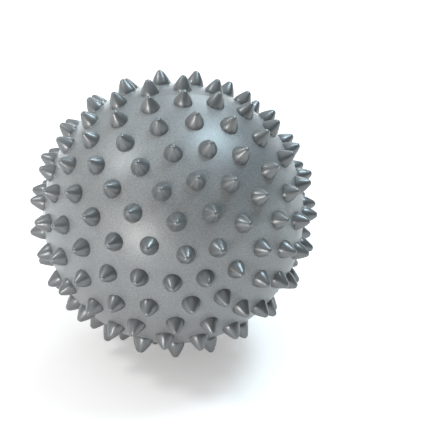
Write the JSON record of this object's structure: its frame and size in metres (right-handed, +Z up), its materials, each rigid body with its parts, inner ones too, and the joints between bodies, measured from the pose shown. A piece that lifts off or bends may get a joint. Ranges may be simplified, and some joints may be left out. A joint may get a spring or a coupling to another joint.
{
  "type": "spiky sensory ball",
  "caption": "Hollow, air-filled soft ball covered with rings of blunt cones; its front presses in under a thumb and springs back, and a small plug closes its air hole.",
  "frame": {"origin": "centre of the ball", "axes": "+Z up, +Y from the pressed front pole to the air plug at the back, along the axis of the rings of spikes; the ball stands on three spike tips about its lowest point"},
  "size_m": [0.0879, 0.0873, 0.0879],
  "materials": {
    "skin": "satin, fine grain",
    "spikes": "satin, smooth",
    "plug": "matte"
  },
  "bodies": {
    "ball": {"skin": "skin", "flex_band": "skin", "spike_ring_04": "spikes", "spike_ring_05": "spikes", "spike_ring_06": "spikes", "spike_ring_07": "spikes", "spike_ring_08": "spikes", "spike_ring_09": "spikes", "spike_ring_10": "spikes", "spike_ring_11": "spikes", "spike_ring_12": "spikes"},
    "press_disc": {"press_disc": "skin", "pole_spike": "spikes", "spike_ring_01": "spikes"},
    "valve_plug": {"valve_plug": "plug"},
    "spike_02_01": {"spike_02_01": "spikes"},
    "spike_02_02": {"spike_02_02": "spikes"},
    "spike_02_03": {"spike_02_03": "spikes"},
    "spike_02_04": {"spike_02_04": "spikes"},
    "spike_02_05": {"spike_02_05": "spikes"},
    "spike_02_06": {"spike_02_06": "spikes"},
    "spike_02_07": {"spike_02_07": "spikes"},
    "spike_02_08": {"spike_02_08": "spikes"},
    "spike_02_09": {"spike_02_09": "spikes"},
    "spike_02_10": {"spike_02_10": "spikes"},
    "spike_02_11": {"spike_02_11": "spikes"},
    "spike_03_01": {"spike_03_01": "spikes"},
    "spike_03_02": {"spike_03_02": "spikes"},
    "spike_03_03": {"spike_03_03": "spikes"},
    "spike_03_04": {"spike_03_04": "spikes"},
    "spike_03_05": {"spike_03_05": "spikes"},
    "spike_03_06": {"spike_03_06": "spikes"},
    "spike_03_07": {"spike_03_07": "spikes"},
    "spike_03_08": {"spike_03_08": "spikes"},
    "spike_03_09": {"spike_03_09": "spikes"},
    "spike_03_10": {"spike_03_10": "spikes"},
    "spike_03_11": {"spike_03_11": "spikes"},
    "spike_03_12": {"spike_03_12": "spikes"},
    "spike_03_13": {"spike_03_13": "spikes"},
    "spike_03_14": {"spike_03_14": "spikes"},
    "spike_03_15": {"spike_03_15": "spikes"},
    "spike_03_16": {"spike_03_16": "spikes"}
  },
  "joints": [
    {"name": "thumb_press", "type": "slide", "parent": "ball", "child": "press_disc", "axis": [0, 1, 0], "range_m": [0, 0.015], "stiffness_N_per_m": 1600, "deforming": ["flex_band"]},
    {"name": "plug_pull", "type": "slide", "parent": "ball", "child": "valve_plug", "axis": [0, 1, 0], "range_m": [0, 0.01]},
    {"name": "lean_02_01", "type": "hinge", "parent": "ball", "child": "spike_02_01", "pos_m": [0.02798, -0.03036, 0.00936], "axis": [0.3173, 0, -0.9483], "range_deg": [0, 49.75]},
    {"name": "lean_02_02", "type": "hinge", "parent": "ball", "child": "spike_02_02", "pos_m": [0.01848, -0.03036, 0.023], "axis": [0.7796, 0, -0.6262], "range_deg": [0, 49.75]},
    {"name": "lean_02_03", "type": "hinge", "parent": "ball", "child": "spike_02_03", "pos_m": [0.00311, -0.03036, 0.02934], "axis": [0.9944, 0, -0.1053], "range_deg": [0, 49.75]},
    {"name": "lean_02_04", "type": "hinge", "parent": "ball", "child": "spike_02_04", "pos_m": [-0.01325, -0.03036, 0.02636], "axis": [0.8935, 0, 0.449], "range_deg": [0, 49.75]},
    {"name": "lean_02_05", "type": "hinge", "parent": "ball", "child": "spike_02_05", "pos_m": [-0.0254, -0.03036, 0.01501], "axis": [0.5089, 0, 0.8608], "range_deg": [0, 49.75]},
    {"name": "lean_02_06", "type": "hinge", "parent": "ball", "child": "spike_02_06", "pos_m": [-0.02948, -0.03036, -0.0011], "axis": [-0.0373, 0, 0.9993], "range_deg": [0, 49.75]},
    {"name": "lean_02_07", "type": "hinge", "parent": "ball", "child": "spike_02_07", "pos_m": [-0.02421, -0.03036, -0.01686], "axis": [-0.5716, 0, 0.8205], "range_deg": [0, 49.75]},
    {"name": "lean_02_08", "type": "hinge", "parent": "ball", "child": "spike_02_08", "pos_m": [-0.01125, -0.03036, -0.02727], "axis": [-0.9245, 0, 0.3812], "range_deg": [0, 49.75]},
    {"name": "lean_02_09", "type": "hinge", "parent": "ball", "child": "spike_02_09", "pos_m": [0.00528, -0.03036, -0.02903], "axis": [-0.9838, 0, -0.1791], "range_deg": [0, 49.75]},
    {"name": "lean_02_10", "type": "hinge", "parent": "ball", "child": "spike_02_10", "pos_m": [0.02014, -0.03036, -0.02156], "axis": [-0.7308, 0, -0.6826], "range_deg": [0, 49.75]},
    {"name": "lean_02_11", "type": "hinge", "parent": "ball", "child": "spike_02_11", "pos_m": [0.0286, -0.03036, -0.00725], "axis": [-0.2458, 0, -0.9693], "range_deg": [0, 49.75]},
    {"name": "lean_03_01", "type": "hinge", "parent": "ball", "child": "spike_03_01", "pos_m": [0.02901, -0.02902, 0.00183], "axis": [0.0628, 0, -0.998], "range_deg": [0, 35.55]},
    {"name": "lean_03_02", "type": "hinge", "parent": "ball", "child": "spike_03_02", "pos_m": [0.0261, -0.02902, 0.01279], "axis": [0.4399, 0, -0.898], "range_deg": [0, 35.55]},
    {"name": "lean_03_03", "type": "hinge", "parent": "ball", "child": "spike_03_03", "pos_m": [0.01922, -0.02902, 0.0218], "axis": [0.7501, 0, -0.6613], "range_deg": [0, 35.55]},
    {"name": "lean_03_04", "type": "hinge", "parent": "ball", "child": "spike_03_04", "pos_m": [0.00941, -0.02902, 0.0275], "axis": [0.9461, 0, -0.3239], "range_deg": [0, 35.55]},
    {"name": "lean_03_05", "type": "hinge", "parent": "ball", "child": "spike_03_05", "pos_m": [-0.00183, -0.02902, 0.02901], "axis": [0.998, 0, 0.0628], "range_deg": [0, 35.55]},
    {"name": "lean_03_06", "type": "hinge", "parent": "ball", "child": "spike_03_06", "pos_m": [-0.01279, -0.02902, 0.0261], "axis": [0.898, 0, 0.4399], "range_deg": [0, 35.55]},
    {"name": "lean_03_07", "type": "hinge", "parent": "ball", "child": "spike_03_07", "pos_m": [-0.0218, -0.02902, 0.01922], "axis": [0.6613, 0, 0.7501], "range_deg": [0, 35.55]},
    {"name": "lean_03_08", "type": "hinge", "parent": "ball", "child": "spike_03_08", "pos_m": [-0.0275, -0.02902, 0.00941], "axis": [0.3239, 0, 0.9461], "range_deg": [0, 35.55]},
    {"name": "lean_03_09", "type": "hinge", "parent": "ball", "child": "spike_03_09", "pos_m": [-0.02901, -0.02902, -0.00183], "axis": [-0.0628, 0, 0.998], "range_deg": [0, 35.55]},
    {"name": "lean_03_10", "type": "hinge", "parent": "ball", "child": "spike_03_10", "pos_m": [-0.0261, -0.02902, -0.01279], "axis": [-0.4399, 0, 0.898], "range_deg": [0, 35.55]},
    {"name": "lean_03_11", "type": "hinge", "parent": "ball", "child": "spike_03_11", "pos_m": [-0.01922, -0.02902, -0.0218], "axis": [-0.7501, 0, 0.6613], "range_deg": [0, 35.55]},
    {"name": "lean_03_12", "type": "hinge", "parent": "ball", "child": "spike_03_12", "pos_m": [-0.00941, -0.02902, -0.0275], "axis": [-0.9461, 0, 0.3239], "range_deg": [0, 35.55]},
    {"name": "lean_03_13", "type": "hinge", "parent": "ball", "child": "spike_03_13", "pos_m": [0.00183, -0.02902, -0.02901], "axis": [-0.998, 0, -0.0628], "range_deg": [0, 35.55]},
    {"name": "lean_03_14", "type": "hinge", "parent": "ball", "child": "spike_03_14", "pos_m": [0.01279, -0.02902, -0.0261], "axis": [-0.898, 0, -0.4399], "range_deg": [0, 35.55]},
    {"name": "lean_03_15", "type": "hinge", "parent": "ball", "child": "spike_03_15", "pos_m": [0.0218, -0.02902, -0.01922], "axis": [-0.6613, 0, -0.7501], "range_deg": [0, 35.55]},
    {"name": "lean_03_16", "type": "hinge", "parent": "ball", "child": "spike_03_16", "pos_m": [0.0275, -0.02902, -0.00941], "axis": [-0.3239, 0, -0.9461], "range_deg": [0, 35.55]}
  ],
  "couplings": [
    {"joint": "lean_02_01", "follows": "thumb_press", "rad_per_m": 57.833},
    {"joint": "lean_02_02", "follows": "thumb_press", "rad_per_m": 57.833},
    {"joint": "lean_02_03", "follows": "thumb_press", "rad_per_m": 57.833},
    {"joint": "lean_02_04", "follows": "thumb_press", "rad_per_m": 57.833},
    {"joint": "lean_02_05", "follows": "thumb_press", "rad_per_m": 57.833},
    {"joint": "lean_02_06", "follows": "thumb_press", "rad_per_m": 57.833},
    {"joint": "lean_02_07", "follows": "thumb_press", "rad_per_m": 57.833},
    {"joint": "lean_02_08", "follows": "thumb_press", "rad_per_m": 57.833},
    {"joint": "lean_02_09", "follows": "thumb_press", "rad_per_m": 57.833},
    {"joint": "lean_02_10", "follows": "thumb_press", "rad_per_m": 57.833},
    {"joint": "lean_02_11", "follows": "thumb_press", "rad_per_m": 57.833},
    {"joint": "lean_03_01", "follows": "thumb_press", "rad_per_m": 41.306},
    {"joint": "lean_03_02", "follows": "thumb_press", "rad_per_m": 41.306},
    {"joint": "lean_03_03", "follows": "thumb_press", "rad_per_m": 41.306},
    {"joint": "lean_03_04", "follows": "thumb_press", "rad_per_m": 41.306},
    {"joint": "lean_03_05", "follows": "thumb_press", "rad_per_m": 41.306},
    {"joint": "lean_03_06", "follows": "thumb_press", "rad_per_m": 41.306},
    {"joint": "lean_03_07", "follows": "thumb_press", "rad_per_m": 41.306},
    {"joint": "lean_03_08", "follows": "thumb_press", "rad_per_m": 41.306},
    {"joint": "lean_03_09", "follows": "thumb_press", "rad_per_m": 41.306},
    {"joint": "lean_03_10", "follows": "thumb_press", "rad_per_m": 41.306},
    {"joint": "lean_03_11", "follows": "thumb_press", "rad_per_m": 41.306},
    {"joint": "lean_03_12", "follows": "thumb_press", "rad_per_m": 41.306},
    {"joint": "lean_03_13", "follows": "thumb_press", "rad_per_m": 41.306},
    {"joint": "lean_03_14", "follows": "thumb_press", "rad_per_m": 41.306},
    {"joint": "lean_03_15", "follows": "thumb_press", "rad_per_m": 41.306},
    {"joint": "lean_03_16", "follows": "thumb_press", "rad_per_m": 41.306}
  ]
}
